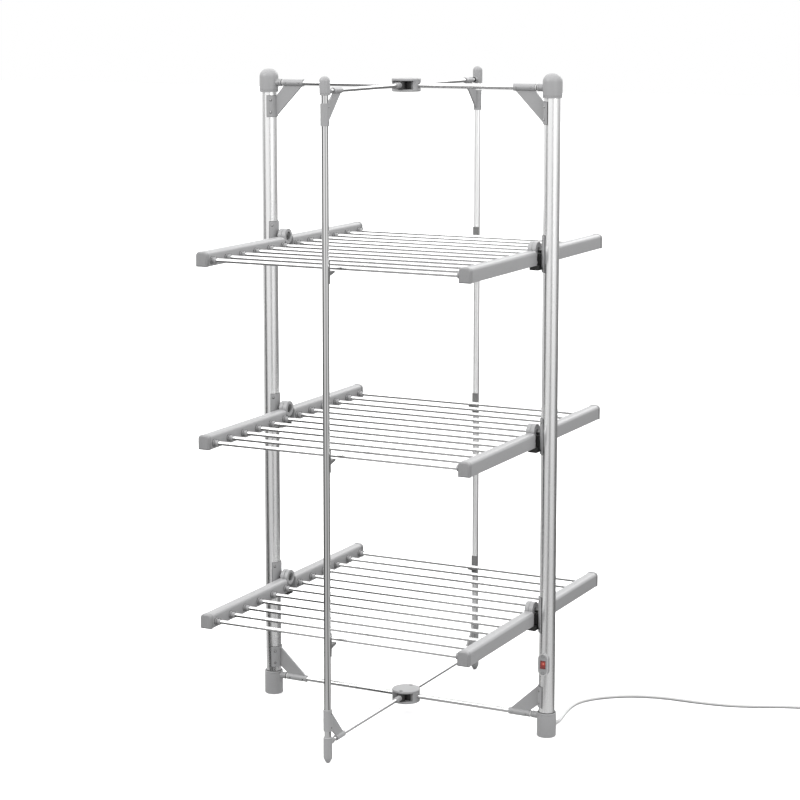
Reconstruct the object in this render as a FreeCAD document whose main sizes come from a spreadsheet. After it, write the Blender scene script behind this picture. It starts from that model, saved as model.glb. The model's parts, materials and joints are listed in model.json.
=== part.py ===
import FreeCAD, Part
import math
import os
import re
import Sketcher
from FreeCAD import Placement, Rotation, Vector

# Three-tier heated clothes airer, unfolded.  Millimetres, +Z up, origin on the floor at the
# centre of the footprint.  The fixed frame stands in the plane y = 0: two thick posts joined
# by an upper and a lower crossbar with a hub in the middle of each.  A thin leg in front and
# one behind swing on pins in both hubs.  Each tier is a front and a rear wing of heated bars
# that hinge on spigots on the thick posts and rest on ledges.

SIZES = [
    ("post_spacing", 676, "axis to axis of the thick posts"),
    ("leg_spacing", 728, "axis to axis of the thin legs"),
    ("frame_height", 1420, "floor to the top of the post caps"),
    ("upper_bar_drop", 30, "top of the post caps to the axis of the upper crossbars and leg arms"),
    ("lower_bar_height", 43, "axis of the lower crossbars and leg arms"),
    ("post_diameter", 34.5, "thick post tube"),
    ("post_wall", 1.3, "wall of the thick post tube"),
    ("post_cap_diameter", 41.5, "top cap and foot of a thick post"),
    ("post_cap_height", 51, "top cap of a thick post"),
    ("post_foot_height", 53, "foot of a thick post"),
    ("post_cap_round", 18, "dome radius of a thick post's cap"),
    ("leg_diameter", 14.5, "thin leg tube"),
    ("leg_wall", 1.2, "wall of the thin tubes"),
    ("leg_cap_diameter", 21.5, "top cap of a thin leg"),
    ("leg_cap_height", 38, "top cap of a thin leg"),
    ("leg_cap_round", 9.5, "dome radius of a thin leg's cap"),
    ("leg_foot_diameter", 19, "foot of a thin leg"),
    ("leg_foot_height", 55, "foot of a thin leg"),
    ("leg_foot_taper", 11, "height of the taper at the tip of a thin leg's foot"),
    ("leg_foot_tip_diameter", 7, "flat tip of a thin leg's foot"),
    ("crossbar_diameter", 11, "crossbar of the fixed frame"),
    ("arm_diameter", 8.6, "horizontal arm of a leg"),
    ("stub_diameter", 15.5, "stub on a post cap that takes the crossbar"),
    ("stub_reach", 33, "post axis to the end of that stub"),
    ("leg_stub_diameter", 13, "stub on a leg cap that takes the arm"),
    ("leg_stub_reach", 19, "leg axis to the end of that stub"),
    ("hub_diameter", 62, "round hub in the middle of the crossbars"),
    ("hub_height", 28, "height of the hub"),
    ("hub_plate", 5, "thickness of the hub's top and bottom discs"),
    ("hub_wall", 13, "depth of the hub's two side walls"),
    ("hub_wall_angle", 70, "arc of each side wall, in degrees"),
    ("pin_offset", 25, "hub axis to a leg's swing pin"),
    ("pin_diameter", 6, "swing pin"),
    ("pin_head_diameter", 8.6, "head of the swing pin"),
    ("pin_head_depth", 2.2, "depth of the recess for the pin's head"),
    ("knuckle_diameter", 17, "knuckle of a leg arm round its pin"),
    ("collar_diameter", 12.6, "ridged collar of a leg arm next to its knuckle"),
    ("collar_reach", 26, "pin axis to the end of that collar"),
    ("gusset_plate_height", 46, "saddle plate of a post gusset"),
    ("gusset_cap_gap", 8, "top cap to the saddle plate below it"),
    ("gusset_foot_gap", 12, "foot to the saddle plate above it"),
    ("gusset_sleeve_start", 38, "post axis to the sleeve on the crossbar"),
    ("gusset_sleeve_length", 49, "sleeve on the crossbar"),
    ("gusset_sleeve_diameter", 15, "sleeve on the crossbar"),
    ("saddle_thickness", 2.5, "wall of a saddle plate on a thick post"),
    ("saddle_angle", 154, "arc of a gusset's saddle plate, in degrees"),
    ("web_thickness", 5, "flat web of a post gusset"),
    ("leg_sleeve_length", 45, "gusset sleeve on the thin leg"),
    ("leg_cap_gap", 16, "leg cap to the sleeve below it"),
    ("leg_foot_gap", 14, "leg foot to the sleeve above it"),
    ("leg_sleeve_wall", 2, "wall of the sleeves of a leg gusset"),
    ("arm_sleeve_start", 34, "leg axis to the sleeve on the arm"),
    ("arm_sleeve_length", 34, "gusset sleeve on the arm"),
    ("leg_web_thickness", 4, "flat web of a leg gusset"),
    ("lowest_pivot_height", 275.5, "hinge axis of the lowest tier"),
    ("tier_spacing", 388, "hinge axis to hinge axis of neighbouring tiers"),
    ("rail_width", 25, "side rail of a wing"),
    ("rail_height", 31, "side rail of a wing"),
    ("rail_corner", 8, "radius of a side rail's two upper corners"),
    ("rail_wall", 2.4, "wall of the hollow side rail"),
    ("rail_root", 22, "solid stretch of a side rail next to its hinge"),
    ("rail_gap", 3.75, "side rail to the hinge plate on the post"),
    ("rail_start", 19, "hinge axis to the inner end of a rail"),
    ("rail_cap_length", 10, "moulded cap on the outer end of a rail"),
    ("rail_cap_lip", 0.7, "how far that cap stands proud of the rail"),
    ("tip_gap", 4.75, "outer end of a wing to the thin leg"),
    ("bar_diameter", 8.8, "heated bar"),
    ("bar_wall", 1, "wall of a heated bar"),
    ("bar_drop", 18.5, "top of the rails to the axis of the bars"),
    ("outer_bar_inset", 23.65, "outer end of a wing to its last bar"),
    ("bar_collar_diameter", 14.5, "collar of a bar at the rail"),
    ("bar_collar_length", 12, "collar of a bar at the rail"),
    ("boss_diameter", 34, "hinge boss"),
    ("boss_length", 18.5, "hinge boss, both halves together"),
    ("boss_outset", 8, "rail centre to the outer face of the boss"),
    ("boss_split", 0.5, "gap between the two halves of a boss"),
    ("boss_recess_diameter", 20, "recess in the inner face of a boss"),
    ("boss_recess_depth", 4, "recess in the inner face of a boss"),
    ("spigot_diameter", 11.5, "hinge spigot on a post"),
    ("spigot_head_diameter", 16, "screw head that keeps a wing on its spigot"),
    ("spigot_head_height", 3, "screw head that keeps a wing on its spigot"),
    ("running_clearance", 0.1, "radial clearance of a pin in its bore"),
    ("hinge_plate_above", 32, "hinge axis to the top of the hinge plate"),
    ("hinge_plate_below", 45, "hinge axis to the bottom of the hinge plate"),
    ("hinge_plate_angle", 130, "arc of a hinge plate, in degrees"),
    ("ledge_reach", 22, "hinge plate to the edge of the ledge under the rails"),
    ("ledge_width", 48, "ledge under the rails"),
    ("ledge_thickness", 3, "ledge under the rails"),
    ("rest_gap", 0.3, "rail to the ledge it rests on"),
    ("stop_width", 18, "block between the ledge and the spigot"),
    ("clip_height", 50, "saddle of a clip on a thin leg"),
    ("clip_wall", 2.2, "wall of that saddle"),
    ("clip_angle", 110, "arc of that saddle, in degrees"),
    ("clip_reach", 22, "leg surface to the end of the clip's hook"),
    ("clip_root", 9, "depth of the hook where it leaves the saddle"),
    ("clip_tip", 4, "depth of the hook at its end"),
    ("clip_width", 12, "width of the clip's hook"),
    ("clip_bar_gap", 0.8, "hook to the bar above it"),
    ("switch_height", 163, "centre of the switch above the floor"),
    ("bezel_width", 23, "switch bezel"),
    ("bezel_height", 48, "switch bezel"),
    ("bezel_proud", 6.2, "post surface to the front of the bezel"),
    ("rocker_width", 12, "switch rocker"),
    ("rocker_height", 16.4, "switch rocker"),
    ("rocker_gap", 1, "rocker to the edge of its opening, above and below"),
    ("rocker_side_gap", 0.4, "rocker to the edge of its opening, each side"),
    ("rocker_pin_diameter", 2.4, "pin that the rocker tips on"),
    ("rocker_pin_reach", 8.4, "rocker's middle to the end of its pin"),
    ("rocker_pin_depth", 2, "front of the bezel to the axis of that pin"),
    ("gland_height", 14, "axis of the cable gland"),
    ("gland_diameter", 11, "cable gland"),
    ("gland_length", 15, "cable gland beyond the foot"),
    ("cable_diameter", 6.8, "mains cable"),
    ("plug_grip_diameter", 24, "body of the plug"),
    ("plug_grip_length", 36, "body of the plug"),
    ("plug_relief_length", 26, "tapered strain relief of the plug"),
    ("plug_pin_diameter", 4, "pins of the plug"),
    ("plug_pin_length", 19, "pins of the plug"),
    ("plug_pin_spacing", 18.6, "pins of the plug, axis to axis"),
    ("coil_radius", 38.5, "centre line of the put-away coil"),
    ("coil_section", 17, "thickness of the put-away coil"),
]
ALIASES = {name for name, value, note in SIZES}

doc = FreeCAD.newDocument("HeatedAirer")
sheet = doc.addObject("Spreadsheet::Sheet", "Sizes")
for row, (name, value, note) in enumerate(SIZES, 1):
    sheet.set("A%d" % row, note)
    sheet.set("B%d" % row, str(value))
    sheet.setAlias("B%d" % row, name)
doc.recompute()

# Lengths worked out from the sizes, as expressions for the document.
POST_X = "(post_spacing / 2)"
LEG_Y = "(leg_spacing / 2)"
POST_R = "(post_diameter / 2)"
LEG_R = "(leg_diameter / 2)"
BAR_R = "(bar_diameter / 2)"
PLATE_R = "(post_diameter / 2 + saddle_thickness)"
RAIL_X = "(post_spacing / 2 - post_diameter / 2 - saddle_thickness - rail_gap - rail_width / 2)"
WING_REACH = "(leg_spacing / 2 - leg_diameter / 2 - tip_gap)"
BAR_HEIGHT = {"upper": "(frame_height - upper_bar_drop)", "lower": "lower_bar_height"}
ROCKER_Y = "-(post_diameter / 2 + bezel_proud - rocker_pin_depth)"
BARS_PER_WING = 6
BAR_PITCH = "((%s - outer_bar_inset) / %g)" % (WING_REACH, BARS_PER_WING - 0.5)
TOUCH = "0.05"
TIERS = ("lower", "middle", "upper")
SIDES = {"left": -1, "right": 1}
WINGS = {"front": -1, "rear": 1}
ALONG = {"z": Rotation(), "x": Rotation(Vector(0, 1, 0), 90),
         "-x": Rotation(Vector(0, 1, 0), -90), "y": Rotation(Vector(1, 0, 0), -90),
         "-y": Rotation(Vector(1, 0, 0), 90)}
nodes = []


def expression(text):
    """The same text with each size's name made a reference to its cell."""
    return re.sub(r"[a-z_]+[a-z]", lambda found: "Sizes." + found.group()
                  if found.group() in ALIASES else found.group(), str(text))


def size(text):
    """The present value of an expression in the named sizes."""
    return float(sheet.evalExpression(expression(text)))


def bind(piece, **values):
    for name, text in values.items():
        piece.setExpression(name, expression(text))
    return piece


def place(piece, at, turn=Rotation()):
    piece.Placement = Placement(Vector(), turn)
    for axis, text in zip("xyz", at):
        piece.setExpression("Placement.Base." + axis, expression(text))
    return piece


def add(kind, name):
    return doc.addObject(kind, name)


def cylinder(name, radius, height, at, along="z", arc=360, start=0):
    piece = bind(add("Part::Cylinder", name), Radius=radius, Height=height, Angle=arc)
    return place(piece, at, ALONG[along] * Rotation(Vector(0, 0, 1), start))


def cone(name, base, top, height, at, along="z"):
    piece = bind(add("Part::Cone", name), Radius1=base, Radius2=top, Height=height)
    return place(piece, at, ALONG[along])


def box(name, length, width, height, at):
    """A box centred on at along X and Y, and standing on it."""
    piece = bind(add("Part::Box", name), Length=length, Width=width, Height=height)
    x, y, z = at
    return place(piece, ("%s - (%s) / 2" % (x, length), "%s - (%s) / 2" % (y, width), z))


def cut(name, base, tool):
    piece = add("Part::Cut", name)
    piece.Base, piece.Tool = base, tool
    return piece


def fuse(name, pieces):
    piece = add("Part::MultiFuse", name)
    piece.Shapes = pieces
    return piece


def rounded(name, base, radius, chosen):
    """The base with its edges rounded that the test picks."""
    doc.recompute()
    piece = add("Part::Fillet", name)
    piece.Base = base
    piece.Edges = [(number, radius, radius) for number, edge in enumerate(base.Shape.Edges, 1)
                   if chosen(edge)]
    return piece


def tube(name, radius, bore, height, at, along="z"):
    return cut(name, cylinder(name + "_outer", radius, height, at, along),
               cylinder(name + "_bore", bore, height, at, along))


def saddle(name, radius, wall, height, at, arc, facing):
    """A curved plate round a tube, its middle at the angle facing."""
    outer = cylinder(name + "_outer", "%s + %s" % (radius, wall), height, at, "z",
                     arc, facing - size(arc) / 2)
    inner = cylinder(name + "_inner", "%s + %s" % (radius, TOUCH), height, at)
    return cut(name, outer, inner)


def prism(name, role, outline, thickness, at, turn=Rotation()):
    """A PartDesign body: an outline of named sizes on an origin plane, padded both ways."""
    body = add("PartDesign::Body", name)
    sketch = body.newObject("Sketcher::SketchObject", name + "_sketch")
    plane = [each for each in body.Origin.OriginFeatures if each.Role == role][0]
    sketch.AttachmentSupport = [(plane, "")]
    sketch.MapMode = "FlatFace"
    corners = [Vector(size(u), size(v), 0) for u, v in outline]
    count = len(corners)
    for i in range(count):
        sketch.addGeometry(Part.LineSegment(corners[i], corners[(i + 1) % count]), False)
    for i in range(count):
        sketch.addConstraint(Sketcher.Constraint("Coincident", i, 2, (i + 1) % count, 1))
    for i, pair in enumerate(outline):
        for kind, text in zip(("DistanceX", "DistanceY"), pair):
            number = sketch.addConstraint(
                Sketcher.Constraint(kind, -1, 1, i, 1, size(text)))
            sketch.setExpression("Constraints[%d]" % number, expression(text))
    pad = body.newObject("PartDesign::Pad", name + "_pad")
    pad.Profile = sketch
    pad.Midplane = True
    bind(pad, Length=thickness)
    body.Tip = pad
    return place(body, at, turn)


def node(label, pieces):
    """One named node of the assembly, from one piece or several alike."""
    if len(pieces) == 1:
        whole = pieces[0]
    else:
        whole = add("Part::Compound", label)
        whole.Links = pieces
    whole.Label = label
    nodes.append(whole)
    return whole


def is_vertical(edge):
    return abs(edge.tangentAt(edge.FirstParameter).z) > 0.999


def pivot_height(tier):
    return "(lowest_pivot_height + %d * tier_spacing)" % TIERS.index(tier)


# ---------------------------------------------------------------- fixed frame

def post(side):
    """A thick aluminium tube between its foot and its cap."""
    sign = SIDES[side]
    at = ("%d * %s" % (sign, POST_X), "0", "post_foot_height")
    height = "frame_height - post_cap_height - post_foot_height"
    whole = tube(side + "_tube", POST_R, POST_R + " - post_wall", height, at)
    if side == "right":
        opening = box("switch_opening", "rocker_width + 2 * rocker_side_gap", POST_R,
                      "rocker_height + 2 * rocker_gap",
                      (POST_X, "-(%s)" % POST_R, "switch_height - rocker_height / 2 - rocker_gap"))
        whole = cut("right_tube_with_opening", whole, opening)
    return whole


def post_end(side, end):
    """The moulded cap or foot of a thick post, with the stub that takes the crossbar."""
    sign = SIDES[side]
    name = "%s_%s" % (side, end)
    top = end == "cap"
    height = "post_cap_height" if top else "post_foot_height"
    base = "frame_height - post_cap_height" if top else "0"
    bar = BAR_HEIGHT["upper" if top else "lower"]
    x = "%d * %s" % (sign, POST_X)
    drum = cylinder(name + "_drum", "post_cap_diameter / 2", height, (x, "0", base))
    far = size("frame_height") if top else 0
    radius = min(size("post_cap_round") if top else 2.0, size("post_cap_diameter") / 2 - 1)
    drum = rounded(name + "_rounded", drum, radius,
                   lambda edge: abs(edge.BoundBox.ZMin - far) < 0.01
                   and abs(edge.BoundBox.ZMax - far) < 0.01)
    stub = cylinder(name + "_stub", "stub_diameter / 2", "stub_reach", (x, "0", bar),
                    "-x" if sign > 0 else "x")
    return fuse(name + "_body", [drum, stub])


def crossbar(side, level):
    """A steel tube from the stub to the hub's side wall."""
    sign = SIDES[side]
    start = "(%s - stub_reach)" % POST_X
    end = "(hub_diameter / 2 - %s)" % "0.2"
    return tube("%s_%s_crossbar" % (side, level), "crossbar_diameter / 2",
                "crossbar_diameter / 2 - leg_wall", "%s - %s" % (start, end),
                ("%d * %s" % (sign, start), "0", BAR_HEIGHT[level]),
                "-x" if sign > 0 else "x")


def post_gusset(side, level):
    """A saddle plate on the post, a flat web and a sleeve on the crossbar."""
    sign = SIDES[side]
    name = "%s_%s_gusset" % (side, level)
    up = 1 if level == "upper" else -1
    bar = BAR_HEIGHT[level]
    x = "%d * %s" % (sign, POST_X)
    if up > 0:
        near = "frame_height - post_cap_height - gusset_cap_gap"
        bottom = near + " - gusset_plate_height"
    else:
        near = "post_foot_height + gusset_foot_gap"
        bottom = near
    plate = saddle(name + "_plate", POST_R, "saddle_thickness", "gusset_plate_height",
                   (x, "0", bottom), "saddle_angle", 180 if sign > 0 else 0)
    sleeve_x = "%d * (%s - gusset_sleeve_start)" % (sign, POST_X)
    sleeve = tube(name + "_sleeve", "gusset_sleeve_diameter / 2",
                  "crossbar_diameter / 2 + " + TOUCH, "gusset_sleeve_length",
                  (sleeve_x, "0", bar), "-x" if sign > 0 else "x")
    inner = "(%s + saddle_thickness / 2)" % POST_R
    reach = "(gusset_sleeve_start + gusset_sleeve_length)"
    rise = "(gusset_sleeve_diameter / 2 - 1.2)"
    drop = "(%s - (%s))" % (bar, near)
    far = "(%s + %d * (gusset_plate_height - 1))" % (drop, up)
    outline = [(inner, "-" + far), (reach + " - 3", "-%d * %s" % (up, rise)),
               ("gusset_sleeve_start + 1", "-%d * %s" % (up, rise)),
               (inner, "-%s - %d * 1" % (drop, up))]
    web = prism(name + "_web", "XZ_Plane", [("%d * (%s)" % (-sign, u), v) for u, v in outline],
                "web_thickness", (x, "0", bar))
    return fuse(name + "_body", [plate, web, sleeve])


def hub(level):
    """Two discs and two side walls, open in front and behind for the leg arms."""
    name = level + "_hub"
    base = "%s - hub_height / 2" % BAR_HEIGHT[level]
    plates = []
    for part, z in (("bottom", base), ("top", base + " + hub_height - hub_plate")):
        disc = cylinder(name + "_%s_disc" % part, "hub_diameter / 2", "hub_plate", ("0", "0", z))
        plates.append(rounded(name + "_%s_plate" % part, disc, 1.2,
                              lambda edge: not is_vertical(edge) and edge.Length > 10))
    walls = []
    for side, sign in SIDES.items():
        start = (0 if sign > 0 else 180) - size("hub_wall_angle") / 2
        wall = cylinder("%s_%s_wall_full" % (name, side), "hub_diameter / 2 - 0.2",
                        "hub_height - hub_plate", ("0", "0", base + " + hub_plate / 2"),
                        "z", "hub_wall_angle", start)
        core = cylinder("%s_%s_wall_core" % (name, side), "hub_diameter / 2 - hub_wall",
                        "hub_height - hub_plate", ("0", "0", base + " + hub_plate / 2"))
        walls.append(cut("%s_%s_wall" % (name, side), wall, core))
    whole = fuse(name + "_solid", plates + walls)
    bores = []
    for wing, sign in WINGS.items():
        y = "%d * pin_offset" % sign
        bores.append(cylinder("%s_%s_bore" % (name, wing), "pin_diameter / 2 + " + TOUCH,
                              "hub_height", ("0", y, base)))
        bores.append(cylinder("%s_%s_recess" % (name, wing), "pin_head_diameter / 2 + 0.2",
                              "pin_head_depth", ("0", y, base + " + hub_height - pin_head_depth")))
    return cut(name + "_body", whole, fuse(name + "_bores", bores))


def hub_pin(level, wing):
    """A headed pin through the hub and one leg's knuckle."""
    name = "%s_%s_pin" % (level, wing)
    y = "%d * pin_offset" % WINGS[wing]
    base = "%s - hub_height / 2" % BAR_HEIGHT[level]
    shank = cylinder(name + "_shank", "pin_diameter / 2", "hub_height - pin_head_depth",
                     ("0", y, base))
    head = cylinder(name + "_head", "pin_head_diameter / 2", "pin_head_depth - 0.6",
                    ("0", y, base + " + hub_height - pin_head_depth"))
    return fuse(name + "_body", [shank, head])


def hinge_bracket(side, tier):
    """A saddle plate with the wing hinge's spigot and the ledge under the rails."""
    sign = SIDES[side]
    name = "%s_%s_hinge" % (side, tier)
    x = "%d * %s" % (sign, POST_X)
    z = pivot_height(tier)
    plate = saddle(name + "_plate", POST_R, "saddle_thickness",
                   "hinge_plate_above + hinge_plate_below", (x, "0", z + " - hinge_plate_below"),
                   "hinge_plate_angle", 180 if sign > 0 else 0)
    root = "(%s + 0.65)" % POST_R
    inward = "-x" if sign > 0 else "x"
    boss_inner = "(%s + boss_outset - boss_length)" % RAIL_X
    head_x = "(%s + boss_recess_depth)" % boss_inner
    spigot = cylinder(name + "_spigot", "spigot_diameter / 2",
                      "%s - %s - %s" % (POST_X, root, head_x),
                      ("%d * (%s - %s)" % (sign, POST_X, root), "0", z), inward)
    head = cylinder(name + "_head", "spigot_head_diameter / 2", "spigot_head_height",
                    ("%d * (%s - 0.3)" % (sign, head_x), "0", z), inward)
    neck = cylinder(name + "_neck", "spigot_diameter / 2", "0.6",
                    ("%d * (%s + 0.1)" % (sign, head_x), "0", z), inward)
    depth = "(saddle_thickness + ledge_reach - 0.65)"
    ledge = box(name + "_ledge_blank", depth, "ledge_width", "ledge_thickness",
                ("%d * (%s - %s - %s / 2)" % (sign, POST_X, root, depth), "0",
                 z + " - rail_height - rest_gap - ledge_thickness"))
    inner_x = sign * size("%s - %s - %s" % (POST_X, root, depth))
    ledge = rounded(name + "_ledge", ledge, 10, lambda edge: is_vertical(edge)
                    and abs(edge.CenterOfMass.x - inner_x) < 0.1)
    return fuse(name + "_body", [plate, spigot, head, neck, ledge])


def hinge_stop(side, tier):
    """The block that stands on the ledge, below the spigot."""
    sign = SIDES[side]
    z = pivot_height(tier)
    outer = "(%s - %s)" % (POST_X, PLATE_R)
    inner = "(%s + boss_outset + 1)" % RAIL_X
    floor = "rail_height + rest_gap"
    return box("%s_%s_stop" % (side, tier), "%s - %s - 0.1" % (outer, inner), "stop_width",
               "%s - 0.05 - spigot_diameter / 2 - 2" % floor,
               ("%d * (%s + %s - 0.1) / 2" % (sign, outer, inner), "0",
                "%s - %s + 0.05" % (z, floor)))


# ---------------------------------------------------------------- legs

def leg_post(wing):
    at = ("0", "%d * %s" % (WINGS[wing], LEG_Y), "leg_foot_height")
    return tube(wing + "_leg_tube", LEG_R, LEG_R + " - leg_wall",
                "frame_height - leg_cap_height - leg_foot_height", at)


def leg_end(wing, end):
    """The cap or the foot of a thin leg, with the stub that takes the arm."""
    sign = WINGS[wing]
    name = "%s_leg_%s" % (wing, end)
    y = "%d * %s" % (sign, LEG_Y)
    if end == "cap":
        drum = cylinder(name + "_drum", "leg_cap_diameter / 2", "leg_cap_height",
                        ("0", y, "frame_height - leg_cap_height"))
        far = size("frame_height")
        radius = min(size("leg_cap_round"), size("leg_cap_diameter") / 2 - 0.4)
        drum = rounded(name + "_rounded", drum, radius,
                       lambda edge: abs(edge.BoundBox.ZMin - far) < 0.01
                       and abs(edge.BoundBox.ZMax - far) < 0.01)
        bar = BAR_HEIGHT["upper"]
    else:
        tip = cone(name + "_tip", "leg_foot_tip_diameter / 2", "leg_foot_diameter / 2",
                   "leg_foot_taper", ("0", y, "0"))
        shaft = cylinder(name + "_shaft", "leg_foot_diameter / 2",
                         "leg_foot_height - leg_foot_taper", ("0", y, "leg_foot_taper"))
        drum = fuse(name + "_drum", [tip, shaft])
        bar = BAR_HEIGHT["lower"]
    stub = cylinder(name + "_stub", "leg_stub_diameter / 2", "leg_stub_reach", ("0", y, bar),
                    "y" if sign < 0 else "-y")
    return fuse(name + "_body", [drum, stub])


def leg_arm(wing, level):
    """The knuckle round the hub pin, its collar and the thin arm out to the leg."""
    sign = WINGS[wing]
    name = "%s_%s_arm" % (wing, level)
    z = BAR_HEIGHT[level]
    y = "%d * pin_offset" % sign
    tall = "(hub_height - 2 * hub_plate - 1)"
    outward = "-y" if sign < 0 else "y"
    knuckle = cylinder(name + "_knuckle", "knuckle_diameter / 2", tall,
                       ("0", y, "%s - %s / 2" % (z, tall)))
    collar = cylinder(name + "_collar", "collar_diameter / 2", "collar_reach", ("0", y, z), outward)
    arm = cylinder(name + "_rod", "arm_diameter / 2",
                   "%s - leg_stub_reach - pin_offset - %s" % (LEG_Y, TOUCH), ("0", y, z), outward)
    bore = cylinder(name + "_bore", "pin_diameter / 2 + running_clearance", tall,
                    ("0", y, "%s - %s / 2" % (z, tall)))
    return cut(name + "_body", fuse(name + "_solid", [knuckle, collar, arm]), bore)


def leg_gusset(wing, level):
    """A sleeve on the leg, a sleeve on the arm and the web between them."""
    sign = WINGS[wing]
    name = "%s_%s_leg_gusset" % (wing, level)
    up = 1 if level == "upper" else -1
    bar = BAR_HEIGHT[level]
    y = "%d * %s" % (sign, LEG_Y)
    if up > 0:
        near = "(frame_height - leg_cap_height - leg_cap_gap)"
        bottom = near + " - leg_sleeve_length"
    else:
        near = "(leg_foot_height + leg_foot_gap)"
        bottom = near
    post_sleeve = tube(name + "_post_sleeve", LEG_R + " + leg_sleeve_wall",
                       LEG_R + " + " + TOUCH, "leg_sleeve_length", ("0", y, bottom))
    arm_sleeve = tube(name + "_arm_sleeve", "arm_diameter / 2 + leg_sleeve_wall",
                      "arm_diameter / 2 + " + TOUCH, "arm_sleeve_length",
                      ("0", "%d * (%s - arm_sleeve_start)" % (sign, LEG_Y), bar),
                      "y" if sign < 0 else "-y")
    inner = "(%s + leg_sleeve_wall / 2)" % LEG_R
    rise = "(arm_diameter / 2 + leg_sleeve_wall / 2)"
    drop = "(%s - %s)" % (bar, near)
    far = "(%s + %d * (leg_sleeve_length - 3))" % (drop, up)
    outline = [(inner, "-" + far), ("arm_sleeve_start + arm_sleeve_length - 3",
                                    "-%d * %s" % (up, rise)),
               ("arm_sleeve_start + 1", "-%d * %s" % (up, rise)),
               (inner, "-%s - %d * 3" % (drop, up))]
    web = prism(name + "_web", "YZ_Plane", [("%d * (%s)" % (-sign, u), v) for u, v in outline],
                "leg_web_thickness", ("0", y, bar))
    return fuse(name + "_body", [post_sleeve, web, arm_sleeve])


def leg_clip(wing, tier):
    """A saddle on the leg with a hook that reaches under the wing's outer bar."""
    sign = WINGS[wing]
    name = "%s_%s_clip" % (wing, tier)
    y = "%d * %s" % (sign, LEG_Y)
    hook_top = "(%s - bar_drop - %s - clip_bar_gap)" % (pivot_height(tier), BAR_R)
    plate = saddle(name + "_saddle", LEG_R, "clip_wall", "clip_height",
                   ("0", y, hook_top + " - clip_height / 2"), "clip_angle",
                   90 if sign < 0 else -90)
    inner = "(%s + clip_wall / 2)" % LEG_R
    tip = "(%s + clip_reach)" % LEG_R
    outline = [(inner, "-clip_root"), (tip, "-clip_tip"), (tip, "0"), (inner, "0")]
    hook = prism(name + "_hook", "YZ_Plane", [("%d * (%s)" % (-sign, u), v) for u, v in outline],
                 "clip_width", ("0", y, hook_top))
    return fuse(name + "_body", [plate, hook])


# ---------------------------------------------------------------- wings

def rail_section(name, grow, length, at, along):
    """A bar of the rail's section: a flat oblong with its two upper corners rounded."""
    half = "(rail_width / 2 + %s)" % grow
    tall = "(rail_height + %s)" % grow
    round_off = "(rail_corner + %s)" % grow
    body = add("PartDesign::Body", name)
    sketch = body.newObject("Sketcher::SketchObject", name + "_sketch")
    plane = [each for each in body.Origin.OriginFeatures if each.Role == "XZ_Plane"][0]
    sketch.AttachmentSupport = [(plane, "")]
    sketch.MapMode = "FlatFace"
    side, low, high, r = size(half), -size(tall), size(grow), size(round_off)
    upright = Vector(0, 0, 1)
    sketch.addGeometry([
        Part.LineSegment(Vector(-side, high - r, 0), Vector(-side, low, 0)),
        Part.LineSegment(Vector(-side, low, 0), Vector(side, low, 0)),
        Part.LineSegment(Vector(side, low, 0), Vector(side, high - r, 0)),
        Part.ArcOfCircle(Part.Circle(Vector(side - r, high - r, 0), upright, r), 0, math.pi / 2),
        Part.LineSegment(Vector(side - r, high, 0), Vector(r - side, high, 0)),
        Part.ArcOfCircle(Part.Circle(Vector(r - side, high - r, 0), upright, r),
                         math.pi / 2, math.pi)], False)
    for kind, link in (("Coincident", (0, 2, 1, 1)), ("Coincident", (1, 2, 2, 1)),
                       ("Tangent", (2, 2, 3, 1)), ("Tangent", (3, 2, 4, 1)),
                       ("Tangent", (4, 2, 5, 1)), ("Tangent", (5, 2, 0, 1)),
                       ("Vertical", (0,)), ("Vertical", (2,)), ("Horizontal", (4,)),
                       ("Equal", (3, 5)), ("Symmetric", (0, 2, 1, 2, -2))):
        sketch.addConstraint(Sketcher.Constraint(kind, *link))
    for kind, link, text in (("Radius", (3,), round_off),
                             ("DistanceX", (-1, 1, 1, 2), half),
                             ("DistanceY", (-1, 1, 4, 1), grow),
                             ("DistanceY", (-1, 1, 1, 1), "-" + tall)):
        number = sketch.addConstraint(Sketcher.Constraint(kind, *link, size(text)))
        sketch.setExpression("Constraints[%d]" % number, expression(text))
    pad = body.newObject("PartDesign::Pad", name + "_pad")
    pad.Profile = sketch
    pad.Reversed = along > 0
    bind(pad, Length=length)
    body.Tip = pad
    return place(body, at)


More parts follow.
